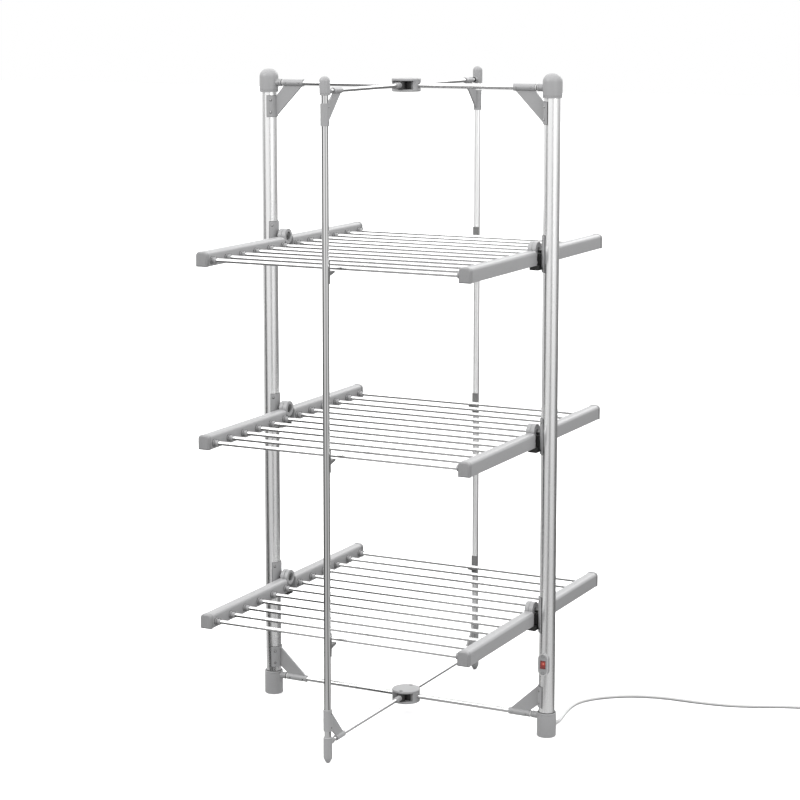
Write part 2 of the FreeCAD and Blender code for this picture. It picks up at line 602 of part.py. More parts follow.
def wing_rail(wing, tier, side):
    """A side rail with its half of the hinge boss and the bridge to it."""
    sign, out = WINGS[wing], SIDES[side]
    name = "%s_%s_%s" % (wing, tier, side)
    z = pivot_height(tier)
    length = "(%s - rail_cap_length - rail_start)" % WING_REACH
    x = "%d * %s" % (out, RAIL_X)
    rail = rail_section(name + "_rail_full", "0", length, (x, "%d * rail_start" % sign, z), sign)
    hollow = rail_section(name + "_rail_hollow", "(-rail_wall)", length + " - rail_root",
                          (x, "%d * (rail_start + rail_root)" % sign, z), sign)
    rail = cut(name + "_rail", rail, hollow)
    outer_face = "(%s + boss_outset)" % RAIL_X
    half = "(boss_length / 2 - boss_split / 2)"
    start = outer_face if wing == "rear" else "(%s - boss_length / 2 - boss_split / 2)" % outer_face
    inward = "-x" if out > 0 else "x"
    boss = cylinder(name + "_boss", "boss_diameter / 2", half,
                    ("%d * %s" % (out, start), "0", z), inward)
    width = "(%s - 2)" % half if wing == "rear" else "(%s - 4)" % half
    bridge_length = "(rail_start + 20)"
    bridge = box(name + "_bridge", width, bridge_length, "rail_height - 13",
                 ("%d * (%s - %s / 2)" % (out, start, width), "%d * %s / 2" % (sign, bridge_length),
                  z + " - rail_height + 7"))
    tools = [cylinder(name + "_bore", "spigot_diameter / 2 + running_clearance", "boss_length",
                      ("%d * (%s + 1)" % (out, start), "0", z), inward)]
    if wing == "front":
        inner_face = "(%s - boss_length)" % outer_face
        tools.append(cylinder(name + "_recess", "boss_recess_diameter / 2",
                              "boss_recess_depth + 1",
                              ("%d * (%s + boss_recess_depth)" % (out, inner_face), "0", z),
                              inward))
    tool = tools[0] if len(tools) == 1 else fuse(name + "_tools", tools)
    return cut(name + "_body", fuse(name + "_solid", [rail, boss, bridge]), tool)


def rail_cap(wing, tier, side):
    """The moulded cap on a rail's outer end, rounded at its corners."""
    sign, out = WINGS[wing], SIDES[side]
    name = "%s_%s_%s_cap" % (wing, tier, side)
    end = "%s - rail_cap_length" % WING_REACH
    cap = rail_section(name, "rail_cap_lip", "rail_cap_length - 0.1",
                       ("%d * %s" % (out, RAIL_X), "%d * (%s + 0.1)" % (sign, end),
                        pivot_height(tier)), sign)
    tip = size(WING_REACH)
    return rounded(name + "_rounded", cap, 4.0,
                   lambda edge: abs(abs(edge.CenterOfMass.y) - tip) < 0.05)


def wing_bars(wing, tier):
    """The wing's heated bars, evenly spaced from rail to rail."""
    sign = WINGS[wing]
    length = "(2 * %s - rail_width - 0.2)" % RAIL_X
    bars = []
    for number in range(BARS_PER_WING):
        at = ("-%s / 2" % length, "%d * %g * %s" % (sign, number + 0.5, BAR_PITCH),
              pivot_height(tier) + " - bar_drop")
        bars.append(tube("%s_%s_bar_%d" % (wing, tier, number + 1), BAR_R,
                         BAR_R + " - bar_wall", length, at, "x"))
    return bars


def bar_collars(wing, tier):
    """The collar round each end of each bar."""
    sign = WINGS[wing]
    collars = []
    for side, out in SIDES.items():
        for number in range(BARS_PER_WING):
            at = ("%d * (%s - rail_width / 2 - 0.1)" % (out, RAIL_X),
                  "%d * %g * %s" % (sign, number + 0.5, BAR_PITCH),
                  pivot_height(tier) + " - bar_drop")
            collars.append(tube("%s_%s_%s_collar_%d" % (wing, tier, side, number + 1),
                                "bar_collar_diameter / 2", BAR_R + " + " + TOUCH,
                                "bar_collar_length", at, "-x" if out > 0 else "x"))
    return collars


# ---------------------------------------------------------------- switch

def switch_bezel():
    """An oblong bezel seated on the round post, open for the rocker."""
    front = "(%s + bezel_proud)" % POST_R
    blank = box("bezel_blank", "bezel_width", front, "bezel_height",
                (POST_X, "-%s / 2" % front, "switch_height - bezel_height / 2"))
    blank = rounded("bezel_outline", blank, size("bezel_width") / 2 - 0.5,
                    lambda edge: abs(edge.tangentAt(edge.FirstParameter).y) > 0.999)
    seat = cylinder("bezel_seat", POST_R + " + " + TOUCH, "bezel_height + 2",
                    (POST_X, "0", "switch_height - bezel_height / 2 - 1"))
    opening = box("bezel_opening", "rocker_width + 2 * rocker_side_gap", "%s + 2" % front,
                  "rocker_height + 2 * rocker_gap",
                  (POST_X, "-(%s + 2) / 2" % front, "switch_height - rocker_height / 2 - rocker_gap"))
    back = box("bezel_back", "bezel_width + 2", POST_R, "bezel_height + 2",
               (POST_X, "-%s / 2 + 7" % POST_R, "switch_height - bezel_height / 2 - 1"))
    bore = rocker_pin("bezel_bore", "running_clearance")
    return cut("bezel_body", blank, fuse("bezel_tools", [seat, opening, back, bore]))


def rocker_pin(name, clearance):
    """The pin that the rocker tips on, or with a clearance the bore for it."""
    reach = "(rocker_pin_reach + %s)" % clearance
    return cylinder(name, "rocker_pin_diameter / 2 + " + clearance, "2 * " + reach,
                    ("%s - %s" % (POST_X, reach), ROCKER_Y, "switch_height"), "x")


def switch_rocker():
    """A two-facet rocker, its upper half pressed in, that tips on a pin in the bezel."""
    half = "(rocker_height / 2)"
    outline = [("8", "-%s + 1.9" % half), ("8", half + " - 1.9"), ("-0.4", half),
               ("-1.9", "0"), ("-3.1", "-" + half)]
    rocker = prism("rocker_prism", "YZ_Plane", outline, "rocker_width",
                   (POST_X, ROCKER_Y, "switch_height"))
    return fuse("rocker_body", [rocker, rocker_pin("rocker_pin", "0")])


# ---------------------------------------------------------------- mains cable

# The cable's route from the gland: down to the floor behind the foot, back along the floor,
# then off to the right in loose bends.
ROUTE = [(338, 36.2, 14), (337.4, 55, 12.6), (334.5, 76, 8.2), (329.5, 98, 4.6),
         (324.5, 123, 3.6), (319, 155, 3.6), (315.5, 192, 3.6), (317.5, 226, 3.6),
         (330, 256, 3.6), (352, 285, 3.6), (387, 315, 3.6), (432, 338, 3.6), (486, 350, 3.6),
         (547, 351, 3.6), (610, 357, 3.6), (668, 374, 3.6), (719, 399, 3.6), (766, 419, 3.6),
         (812, 428.5, 3.6)]
COIL_CENTRE = (833.5, 468.5)
COIL_LEAVE_ANGLE = -20


def rounded_path(points, share=0.45):
    """Straight runs joined by tangent arcs, each as large as its two runs allow."""
    corners = [Vector(*point) for point in points]
    edges, radii, start = [], [], corners[0]
    for before, corner, after in zip(corners, corners[1:], corners[2:]):
        back, ahead = before - corner, after - corner
        trim = share * min(back.Length, ahead.Length)
        half_turn = (math.pi - back.getAngle(ahead)) / 2
        radii.append(trim / math.tan(half_turn))
        entry = corner + Vector(back).normalize() * trim
        leave = corner + Vector(ahead).normalize() * trim
        bisector = (Vector(back).normalize() + Vector(ahead).normalize()).normalize()
        middle = corner + bisector * radii[-1] * (1 / math.cos(half_turn) - 1)
        edges.append(Part.LineSegment(start, entry).toShape())
        edges.append(Part.Arc(entry, middle, leave).toShape())
        start = leave
    edges.append(Part.LineSegment(start, corners[-1]).toShape())
    return Part.Wire(edges), radii


def mains_cable():
    path, radii = rounded_path(ROUTE)
    heading = Vector(*ROUTE[1]) - Vector(*ROUTE[0])
    radius = size("cable_diameter") / 2
    rim = Part.Wire(Part.makeCircle(radius, Vector(*ROUTE[0]), heading))
    solid = path.makePipeShell([rim], True, False)
    print("cable radii", [round(each) for each in radii], "length", round(path.Length))
    share = solid.Volume / (math.pi * radius ** 2 * path.Length)
    if abs(share - 1) > 0.01:
        raise RuntimeError("cable volume is %.3f of its section times its length" % share)
    cable = add("Part::Feature", "cable_body")
    cable.Shape = solid
    cable.Placement = Placement()
    return cable


def cable_gland():
    """A bush behind the right foot, seated on its round side."""
    y = "post_cap_diameter / 2"
    bush = cylinder("gland_bush", "gland_diameter / 2", "gland_length - 0.1 + 8",
                    (POST_X, y + " - 8", "gland_height"), "y")
    seat = cylinder("gland_seat", "post_cap_diameter / 2 + " + TOUCH, "post_foot_height",
                    (POST_X, "0", "0"))
    return cut("gland_body", bush, seat)


def cable_coil():
    ring = bind(add("Part::Torus", "coil_body"), Radius1="coil_radius", Radius2="coil_section / 2")
    return place(ring, (COIL_CENTRE[0], COIL_CENTRE[1], "coil_section / 2 + 0.1"))


def mains_plug():
    """A two-pin plug on the floor, in line with the end of the coil's last turn."""
    leave = math.radians(COIL_LEAVE_ANGLE)
    outward = Vector(math.cos(leave), math.sin(leave), 0)
    onward = Vector(-math.sin(leave), math.cos(leave), 0)
    ring, section = size("coil_radius"), size("coil_section / 2")
    last_turn = ring + size("cable_diameter")
    clear = math.sqrt((ring + section) ** 2 - last_turn ** 2) + 4
    start = (Vector(*COIL_CENTRE, 0) + outward * last_turn + onward * clear
             + Vector(0, 0, size("plug_grip_diameter / 2") + 0.2))
    turn = Rotation(Vector(1, 0, 0), onward)

    def laid(piece, along, across=0):
        piece.Placement = Placement(start + onward * along + outward * across,
                                    turn * ALONG["x"])
        return piece

    relief = bind(add("Part::Cone", "plug_relief"), Radius1="cable_diameter / 2 + 0.4",
                  Radius2="plug_grip_diameter / 2 - 3", Height="plug_relief_length")
    grip = bind(add("Part::Cylinder", "plug_grip"), Radius="plug_grip_diameter / 2",
                Height="plug_grip_length")
    reach = size("plug_relief_length")
    pieces = [laid(relief, 0), laid(grip, reach)]
    for number, across in enumerate((-1, 1)):
        pin = bind(add("Part::Cylinder", "plug_pin_%d" % (number + 1)),
                   Radius="plug_pin_diameter / 2", Height="plug_pin_length")
        pieces.append(laid(pin, reach + size("plug_grip_length"),
                           across * size("plug_pin_spacing / 2")))
    return fuse("plug_body", pieces)


# ---------------------------------------------------------------- assembly

for side in SIDES:
    node(side + "_post", [post(side)])
node("post_top_caps", [post_end(side, "cap") for side in SIDES])
node("post_feet", [post_end(side, "foot") for side in SIDES])
node("crossbars", [crossbar(side, level) for level in ("upper", "lower") for side in SIDES])
node("post_gussets", [post_gusset(side, level) for level in ("upper", "lower") for side in SIDES])
for level in ("upper", "lower"):
    node(level + "_hub", [hub(level)])
node("hub_pins", [hub_pin(level, wing) for level in ("upper", "lower") for wing in WINGS])
node("hinge_brackets", [hinge_bracket(side, tier) for tier in TIERS for side in SIDES])
node("hinge_stops", [hinge_stop(side, tier) for tier in TIERS for side in SIDES])
node("switch_bezel", [switch_bezel()])
node("switch_rocker", [switch_rocker()])
node("cable_gland", [cable_gland()])
node("mains_cable", [mains_cable()])
node("mains_cable_coil", [cable_coil()])
node("mains_plug", [mains_plug()])
for wing in WINGS:
    node(wing + "_leg_post", [leg_post(wing)])
    node(wing + "_leg_cap", [leg_end(wing, "cap")])
    node(wing + "_leg_foot", [leg_end(wing, "foot")])
    node(wing + "_leg_arms", [leg_arm(wing, level) for level in ("upper", "lower")])
    node(wing + "_leg_gussets", [leg_gusset(wing, level) for level in ("upper", "lower")])
    node(wing + "_leg_clips", [leg_clip(wing, tier) for tier in TIERS])
    for tier in TIERS:
        name = "%s_%s_" % (tier, wing)
        for side in SIDES:
            node(name + side + "_rail", [wing_rail(wing, tier, side)])
        node(name + "rail_caps", [rail_cap(wing, tier, side) for side in SIDES])
        node(name + "bars", wing_bars(wing, tier))
        node(name + "bar_collars", bar_collars(wing, tier))

doc.recompute()
for piece in doc.Objects:
    if "Invalid" in piece.State or "Error" in piece.State:
        raise RuntimeError("%s failed to build" % piece.Label)
os.makedirs("parts", exist_ok=True)
for piece in nodes:
    if piece.Shape.isNull() or not piece.Shape.isValid():
        raise RuntimeError("%s has no valid shape" % piece.Label)
    piece.Shape.exportStep("parts/%s.step" % piece.Label)
print(len(nodes), "nodes")
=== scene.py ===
import json
import math
import bmesh
import bpy
from mathutils import Matrix, Vector


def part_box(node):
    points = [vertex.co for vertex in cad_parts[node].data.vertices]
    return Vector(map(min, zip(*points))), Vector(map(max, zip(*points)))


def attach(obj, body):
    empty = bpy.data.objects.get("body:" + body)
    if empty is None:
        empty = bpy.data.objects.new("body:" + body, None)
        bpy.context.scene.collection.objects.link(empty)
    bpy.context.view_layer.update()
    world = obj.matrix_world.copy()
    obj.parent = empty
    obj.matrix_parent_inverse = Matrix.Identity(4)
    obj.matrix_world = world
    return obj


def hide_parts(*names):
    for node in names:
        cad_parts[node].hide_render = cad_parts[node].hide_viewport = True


# Three-tier heated clothes airer, unfolded.  Metres, +Z up, on the floor at the origin.
# The posts stand in the plane y = 0 and the thin legs in the plane x = 0.

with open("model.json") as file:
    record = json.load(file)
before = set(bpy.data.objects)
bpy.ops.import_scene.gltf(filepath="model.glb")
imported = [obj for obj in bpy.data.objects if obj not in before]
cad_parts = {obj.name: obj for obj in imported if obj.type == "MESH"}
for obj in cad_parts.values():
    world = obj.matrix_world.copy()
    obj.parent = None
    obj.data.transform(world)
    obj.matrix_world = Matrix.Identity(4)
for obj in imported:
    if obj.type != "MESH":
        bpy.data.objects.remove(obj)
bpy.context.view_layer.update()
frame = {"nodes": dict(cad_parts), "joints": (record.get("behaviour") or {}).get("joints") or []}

# ---------------------------------------------------------------- places, from the frame

X, Y, Z = Vector((1, 0, 0)), Vector((0, 1, 0)), Vector((0, 0, 1))
SIDES = {"left": -1, "right": 1}
WINGS = {"front": -1, "rear": 1}
TIERS = ("lower", "middle", "upper")


def middle(node):
    low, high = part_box(node)
    return (low + high) / 2


def across(node):
    low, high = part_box(node)
    return high - low


# ---------------------------------------------------------------- camera and light

def camera():
    """A long lens level with the middle of the airer, seen from its front right."""
    lens = bpy.data.cameras.new("camera")
    lens.lens = 99.98
    lens.sensor_width = 36
    lens.shift_y = -0.1
    view = bpy.data.objects.new("camera", lens)
    view.location = (2.127, -4.264, 1.5761)
    view.rotation_euler = (math.radians(90 - 8.278), 0, math.radians(26.674))
    bpy.context.scene.collection.objects.link(view)
    bpy.context.scene.camera = view


def soft_box(name, place, size, power):
    """A rectangular light that faces the middle of the airer."""
    lamp = bpy.data.lights.new(name, "AREA")
    lamp.shape = "RECTANGLE"
    lamp.size, lamp.size_y = size
    lamp.energy = power
    light = bpy.data.objects.new(name, lamp)
    light.location = place
    light.rotation_euler = (Vector((0, 0, 0.7)) - Vector(place)).to_track_quat("-Z", "Y").to_euler()
    bpy.context.scene.collection.objects.link(light)


def studio():
    """A pale floor, a white room with grey flats for the metal to mirror, and soft boxes."""
    mesh = bpy.data.meshes.new("floor")
    bm = bmesh.new()
    bmesh.ops.create_grid(bm, x_segments=1, y_segments=1, size=30)
    bm.to_mesh(mesh)
    bm.free()
    floor = bpy.data.objects.new("floor", mesh)
    bpy.context.scene.collection.objects.link(floor)
    floor.data.materials.append(floor_paint())
    soft_box("key_light", (-2.6, -3.4, 3.4), (2.4, 2.4), 70)
    soft_box("fill_light", (3.8, -2.2, 2.6), (2.0, 3.0), 35)
    soft_box("back_light", (0.5, 4.5, 3.2), (3.0, 2.0), 40)

    world = bpy.data.worlds.new("studio")
    world.use_nodes = True
    bpy.context.scene.world = world
    nodes, links = world.node_tree.nodes, world.node_tree.links
    nodes.clear()
    out = nodes.new("ShaderNodeOutputWorld")
    seen, mirrored = nodes.new("ShaderNodeBackground"), nodes.new("ShaderNodeBackground")
    seen.inputs["Color"].default_value = (1, 1, 1, 1)
    place, parts = nodes.new("ShaderNodeTexCoord"), nodes.new("ShaderNodeSeparateXYZ")
    links.new(place.outputs["Generated"], parts.inputs[0])
    tone = graded(nodes, links, parts.outputs["Z"], SKY)
    links.new(tone, mirrored.inputs["Color"])
    mirrored.inputs["Strength"].default_value = 2.1
    pick_for_camera(nodes, links, seen.outputs[0], mirrored.outputs[0], out.inputs["Surface"])
    bpy.context.scene.view_settings.view_transform = "Standard"


def graded(nodes, links, value, stops):
    """A grey that follows a value through (where, grey) stops."""
    ramp = nodes.new("ShaderNodeValToRGB")
    links.new(value, ramp.inputs[0])
    marks = ramp.color_ramp.elements
    for where, grey in stops:
        mark = marks.new(where)
        mark.color = (grey, grey, grey, 1)
    marks.remove(marks[0])
    marks.remove(marks[len(marks) - 1])
    return ramp.outputs[0]


def pick_for_camera(nodes, links, for_camera, for_others, target):
    """One shader for what the camera sees straight on, another for light and mirrors."""
    eye, pick = nodes.new("ShaderNodeLightPath"), nodes.new("ShaderNodeMixShader")
    links.new(eye.outputs["Is Camera Ray"], pick.inputs[0])
    links.new(for_others, pick.inputs[1])
    links.new(for_camera, pick.inputs[2])
    links.new(pick.outputs[0], target)


def floor_paint():
    """White to the camera; to the tubes it is a floor with dark flats set up round it."""
    material, nodes, links, shader = principled("floor_paint", Roughness=0.9)
    speckle = nodes.new("ShaderNodeTexNoise")
    speckle.inputs["Scale"].default_value = 40
    tone = graded(nodes, links, speckle.outputs[0], ((0.02, 0.93), (0.98, 0.96)))
    links.new(tone, shader.inputs["Base Color"])
    bright, lift = nodes.new("ShaderNodeAddShader"), nodes.new("ShaderNodeEmission")
    lift.inputs["Strength"].default_value = 0.16
    links.new(shader.outputs[0], bright.inputs[0])
    links.new(lift.outputs[0], bright.inputs[1])

    place, parts = nodes.new("ShaderNodeTexCoord"), nodes.new("ShaderNodeSeparateXYZ")
    links.new(place.outputs["Object"], parts.inputs[0])
    turn = nodes.new("ShaderNodeMath")
    turn.operation = "ARCTAN2"
    links.new(parts.outputs["Y"], turn.inputs[0])
    links.new(parts.outputs["X"], turn.inputs[1])
    around = nodes.new("ShaderNodeMath")
    around.operation = "MULTIPLY_ADD"
    around.inputs[1].default_value = 1 / (2 * math.pi)
    around.inputs[2].default_value = 0.5
    links.new(turn.outputs[0], around.inputs[0])
    flats = graded(nodes, links, around.outputs[0], FLATS)
    away = nodes.new("ShaderNodeVectorMath")
    away.operation = "LENGTH"
    links.new(place.outputs["Object"], away.inputs[0])
    share = nodes.new("ShaderNodeMath")
    share.operation = "DIVIDE"
    share.inputs[1].default_value = 15
    links.new(away.outputs["Value"], share.inputs[0])
    reach = graded(nodes, links, share.outputs[0], REACH)
    both = nodes.new("ShaderNodeMix")
    both.data_type, both.blend_type = "RGBA", "MULTIPLY"
    both.inputs[0].default_value = 1
    links.new(flats, both.inputs[6])
    links.new(reach, both.inputs[7])
    dull = nodes.new("ShaderNodeEmission")
    links.new(both.outputs[2], dull.inputs["Color"])
    pick_for_camera(nodes, links, bright.outputs[0], dull.outputs[0],
                    nodes["Material Output"].inputs["Surface"])
    return material


# Grey of the flats round the floor, as a share of a turn counted from -X through -Y.
FLATS = ((0.005, 0.92), (0.04, 0.85), (0.056, 0.02), (0.142, 0.02), (0.156, 0.95), (0.24, 1.0),
         (0.315, 0.95), (0.33, 0.25), (0.37, 0.25), (0.385, 1.0), (0.49, 1.0), (0.52, 0.85),
         (0.545, 0.35), (0.59, 0.18), (0.66, 0.2), (0.71, 0.4), (0.79, 0.3), (0.85, 0.3),
         (0.9, 0.7), (0.95, 0.95))
# Grey of the floor against its distance from the middle, as a share of 15 m.
REACH = ((0.01, 0.62), (0.04, 0.60), (0.1, 0.56), (0.2, 0.62), (0.36, 0.78), (0.6, 0.95),
         (0.9, 1.05))
# Grey of the studio's walls and ceiling against the height of the ray.
SKY = ((0.01, 0.46), (0.12, 0.5), (0.35, 0.68), (0.7, 0.95), (0.95, 1.0))


# ---------------------------------------------------------------- finishes

def principled(name, **values):
    material = bpy.data.materials.new(name)
    material.use_nodes = True
    shader = material.node_tree.nodes["Principled BSDF"]
    for socket, value in values.items():
        shader.inputs[socket.replace("_", " ")].default_value = value
    return material, material.node_tree.nodes, material.node_tree.links, shader


def surface_group():
    """Streaks or grain: a mask and a normal from noise stretched by a scale along each axis."""
    tree = bpy.data.node_groups.new("grain", "ShaderNodeTree")
    face = tree.interface
    scale = face.new_socket("Scale", in_out="INPUT", socket_type="NodeSocketVector")
    scale.default_value = (400, 400, 400)
    depth = face.new_socket("Depth", in_out="INPUT", socket_type="NodeSocketFloat")
    depth.default_value = 0.00002
    face.new_socket("Mask", in_out="OUTPUT", socket_type="NodeSocketFloat")
    face.new_socket("Normal", in_out="OUTPUT", socket_type="NodeSocketVector")
    nodes, links = tree.nodes, tree.links
    given, out = nodes.new("NodeGroupInput"), nodes.new("NodeGroupOutput")
    place = nodes.new("ShaderNodeTexCoord")
    stretch = nodes.new("ShaderNodeVectorMath")
    stretch.operation = "MULTIPLY"
    links.new(place.outputs["Object"], stretch.inputs[0])
    links.new(given.outputs["Scale"], stretch.inputs[1])
    noise = nodes.new("ShaderNodeTexNoise")
    noise.inputs["Scale"].default_value = 1
    noise.inputs["Detail"].default_value = 3
    links.new(stretch.outputs[0], noise.inputs["Vector"])
    bump = nodes.new("ShaderNodeBump")
    bump.inputs["Strength"].default_value = 1
    links.new(given.outputs["Depth"], bump.inputs["Distance"])
    links.new(noise.outputs[0], bump.inputs["Height"])
    links.new(noise.outputs[0], out.inputs["Mask"])
    links.new(bump.outputs[0], out.inputs["Normal"])
    return tree


GRAIN = surface_group()


def finish_of(name, dark, light, rough, scale, depth, **values):
    """A Principled finish whose colour and roughness follow its grain."""
    material, nodes, links, shader = principled(name, **values)
    grain = nodes.new("ShaderNodeGroup")
    grain.node_tree = GRAIN
    grain.inputs["Scale"].default_value = scale
    grain.inputs["Depth"].default_value = depth
    tone = nodes.new("ShaderNodeValToRGB")
    tone.color_ramp.elements[0].position = 0.3
    tone.color_ramp.elements[1].position = 0.7
    tone.color_ramp.elements[0].color = (*dark, 1)
    tone.color_ramp.elements[1].color = (*light, 1)
    sheen = nodes.new("ShaderNodeMapRange")
    sheen.inputs["To Min"].default_value, sheen.inputs["To Max"].default_value = rough
    links.new(grain.outputs["Mask"], tone.inputs[0])
    links.new(grain.outputs["Mask"], sheen.inputs["Value"])
    links.new(tone.outputs[0], shader.inputs["Base Color"])
    links.new(sheen.outputs[0], shader.inputs["Roughness"])
    links.new(grain.outputs["Normal"], shader.inputs["Normal"])
    return material


def grey(value, tint=0.0):
    return (value, value, value + tint)


def lamp_lens():
    """The rocker's red lens, lit from inside a little above its middle."""
    material, nodes, links, shader = principled("lit_red_lens", Roughness=0.18, Coat_Weight=0.6)
    shader.inputs["Base Color"].default_value = (0.12, 0.006, 0.003, 1)
    place = nodes.new("ShaderNodeTexCoord")
    away = nodes.new("ShaderNodeVectorMath")
    away.operation = "DISTANCE"
    away.inputs[1].default_value = middle("switch_rocker") + Vector((0.001, -0.006, 0.0025))
    links.new(place.outputs["Object"], away.inputs[0])
    near = nodes.new("ShaderNodeMapRange")
    near.inputs["From Min"].default_value, near.inputs["From Max"].default_value = 0.0008, 0.006
    near.inputs["To Min"].default_value, near.inputs["To Max"].default_value = 1, 0
    links.new(away.outputs["Value"], near.inputs["Value"])
    glow = nodes.new("ShaderNodeValToRGB")
    stops = glow.color_ramp.elements
    stops[0].color = (0.05, 0.002, 0.001, 1)
    stops[1].color = (1.0, 0.62, 0.42, 1)
    warm = stops.new(0.6)
    warm.color = (0.30, 0.015, 0.004, 1)
    links.new(near.outputs[0], glow.inputs[0])
    links.new(glow.outputs[0], shader.inputs["Emission Color"])
    shader.inputs["Emission Strength"].default_value = 0.9
    return material


FINISHES = {
    "satin_aluminium": finish_of("satin_aluminium", grey(0.87), grey(0.93), (0.24, 0.30),
                                 (1800, 1800, 5), 0.0000008, Metallic=1.0),
    "bar_aluminium": finish_of("bar_aluminium", grey(0.60), grey(0.68), (0.20, 0.28),
                               (6, 2200, 2200), 0.0000006, Metallic=1.0),
    "painted_steel": finish_of("bright_steel", grey(0.56), grey(0.64), (0.14, 0.2),
                               (500, 500, 500), 0.0000005, Metallic=1.0),
    "front_leg": finish_of("bright_leg_tube", grey(0.66), grey(0.72), (0.04, 0.07),
                           (900, 900, 6), 0.0000003, Metallic=1.0),
    # Painted light: the rear leg is the same tube as the front one, given a lighter copy of its
    # colour for the paler light on it.
    "rear_leg": finish_of("satin_leg_tube", grey(0.86), grey(0.93), (0.3, 0.38),
                          (900, 900, 6), 0.0000008, Metallic=1.0),
    "steel": finish_of("dark_steel", grey(0.10), grey(0.18), (0.3, 0.45),
                       (500, 500, 500), 0.00001, Metallic=1.0),
    "grey_plastic": finish_of("grey_plastic", grey(0.265, 0.004), grey(0.31, 0.004), (0.3, 0.4),
                              (1300, 1300, 1300), 0.00001),
    "cap_plastic": finish_of("cap_plastic", grey(0.21, 0.003), grey(0.25, 0.003), (0.26, 0.36),
                             (1300, 1300, 1300), 0.00001),
    "dark_plastic": finish_of("dark_grey_plastic", grey(0.13), grey(0.17), (0.34, 0.46),
                              (1300, 1300, 1300), 0.00001),
    "black_plastic": finish_of("black_plastic", grey(0.012), grey(0.022), (0.4, 0.55),
                               (1300, 1300, 1300), 0.00001),
    "red_plastic": lamp_lens(),
    "cable_pvc": finish_of("cable_pvc", grey(0.50), grey(0.57), (0.42, 0.55),
                           (700, 700, 700), 0.00001),
    "light_pvc": finish_of("light_pvc", grey(0.46), grey(0.52), (0.4, 0.5),
                           (1000, 1000, 1000), 0.00001),
}
for node in frame["nodes"].values():
    for place in node.material_slots:
        place.material = FINISHES[place.material.name.split(".")[0]]
for name in ("front_leg", "rear_leg"):
    frame["nodes"][name + "_post"].material_slots[0].material = FINISHES[name]


# ---------------------------------------------------------------- mesh helpers

MERGE = 1e-6


def spun(bm, profile, at, axis, steps=40):
    """A turned shape: (distance along the axis, radius) pairs spun about it."""
    out = axis.orthogonal().normalized()
    spots = [bm.verts.new(at + axis * along + out * radius) for along, radius in profile]
    edges = [bm.edges.new(pair) for pair in zip(spots, spots[1:])]
    bmesh.ops.spin(bm, geom=spots + edges, cent=at, axis=axis, angle=2 * math.pi, steps=steps,
                   use_merge=True)


def band(bm, at, axis, start, end, inner, outer, steps):
    """A ring from start to end along the axis, or a disc when its inner radius is 0."""
    spun(bm, [(start, inner), (start, outer), (end, outer), (end, inner)], at, axis, steps)


def arc_plate(bm, at, radius, wall, low, high, facing, arc, steps=24):
    """A curved plate about a vertical axis, its middle at the angle facing."""
    turn = Matrix.Rotation(facing - arc / 2, 3, "Z")
    corners = [(radius, low), (radius + wall, low), (radius + wall, high), (radius, high)]
    spots = [bm.verts.new(Vector((at.x, at.y, z)) + turn @ Vector((r, 0, 0)))
             for r, z in corners]
    face = bm.faces.new(spots)
    bmesh.ops.spin(bm, geom=[face] + list(face.edges) + spots, cent=at, axis=Z, angle=arc,
                   steps=steps)


def block(bm, low, high, bevel=0.0, segments=2, chosen=lambda edge: True):
    """A box from corner to corner with the chosen edges bevelled."""
    low, high = Vector(low), Vector(high)
    verts = bmesh.ops.create_cube(bm, size=1)["verts"]
    bmesh.ops.scale(bm, vec=high - low, verts=verts)
    bmesh.ops.translate(bm, vec=(low + high) / 2, verts=verts)
    if bevel:
        edges = {edge for vert in verts for edge in vert.link_edges if chosen(edge)}
        bmesh.ops.bevel(bm, geom=list(edges), offset=bevel, segments=segments, affect="EDGES",
                        profile=0.5, material=-1)


def made(name, bm, body, finish, nodes=(), bevel=0.0):
    """The finished piece: closed, facing outwards, riding on its body."""
    bmesh.ops.remove_doubles(bm, verts=bm.verts, dist=MERGE)
    bmesh.ops.recalc_face_normals(bm, faces=bm.faces)
    mesh = bpy.data.meshes.new(name)
    bm.to_mesh(mesh)
    bm.free()
    for face in mesh.polygons:
        face.use_smooth = True
    mesh.set_sharp_from_angle(angle=math.radians(32))
    piece = bpy.data.objects.new(name, mesh)
    bpy.context.scene.collection.objects.link(piece)
    mesh.materials.append(FINISHES[finish])
    if bevel:
        edge = piece.modifiers.new("soft_edges", "BEVEL")
        edge.width = bevel
        edge.segments = 2
        edge.limit_method = "ANGLE"
        edge.angle_limit = math.radians(35)
        edge.harden_normals = True
    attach(piece, body)
    if nodes:
        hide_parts(*nodes)
    return piece


def softened(node, body, finish, bevel):
    """A copy of a CAD node with its flat faces joined and its edges eased."""
    bm = bmesh.new()
    bm.from_mesh(frame["nodes"][node].data)
    bmesh.ops.remove_doubles(bm, verts=bm.verts, dist=MERGE)
    bmesh.ops.dissolve_limit(bm, angle_limit=math.radians(0.5), verts=bm.verts, edges=bm.edges)
    return made(node + "_eased", bm, body, finish, [node], bevel)


# ---------------------------------------------------------------- sizes, from the frame

POST_X = middle("right_post").x
POST_R = across("right_post").x / 2
LEG_Y = middle("rear_leg_post").y
LEG_R = across("rear_leg_post").x / 2
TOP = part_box("post_top_caps")[1].z
CAP_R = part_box("post_top_caps")[1].x - POST_X
CAP_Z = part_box("right_post")[1].z
FOOT_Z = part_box("right_post")[0].z
LEG_CAP_R = across("rear_leg_cap").x / 2
LEG_CAP_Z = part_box("rear_leg_post")[1].z
LEG_FOOT_R = across("rear_leg_foot").x / 2
LEG_FOOT_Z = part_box("rear_leg_post")[0].z
HUB = {level: middle(level + "_hub") for level in ("upper", "lower")}
PIVOT = {joint["name"].split("_")[0]: joint["pos_m"][2]
         for joint in frame["joints"] if joint["name"].endswith("front_wing_fold")}
PIN_Y = max(joint["pos_m"][1] for joint in frame["joints"] if "leg_swing" in joint["name"])
RAIL_X = middle("lower_rear_right_rail").x
RAIL_HALF = 0.0125
# Radii of the crossbars between the posts and of the arms out to the legs.
CROSSBAR_R, ARM_R = 0.0055, 0.0043
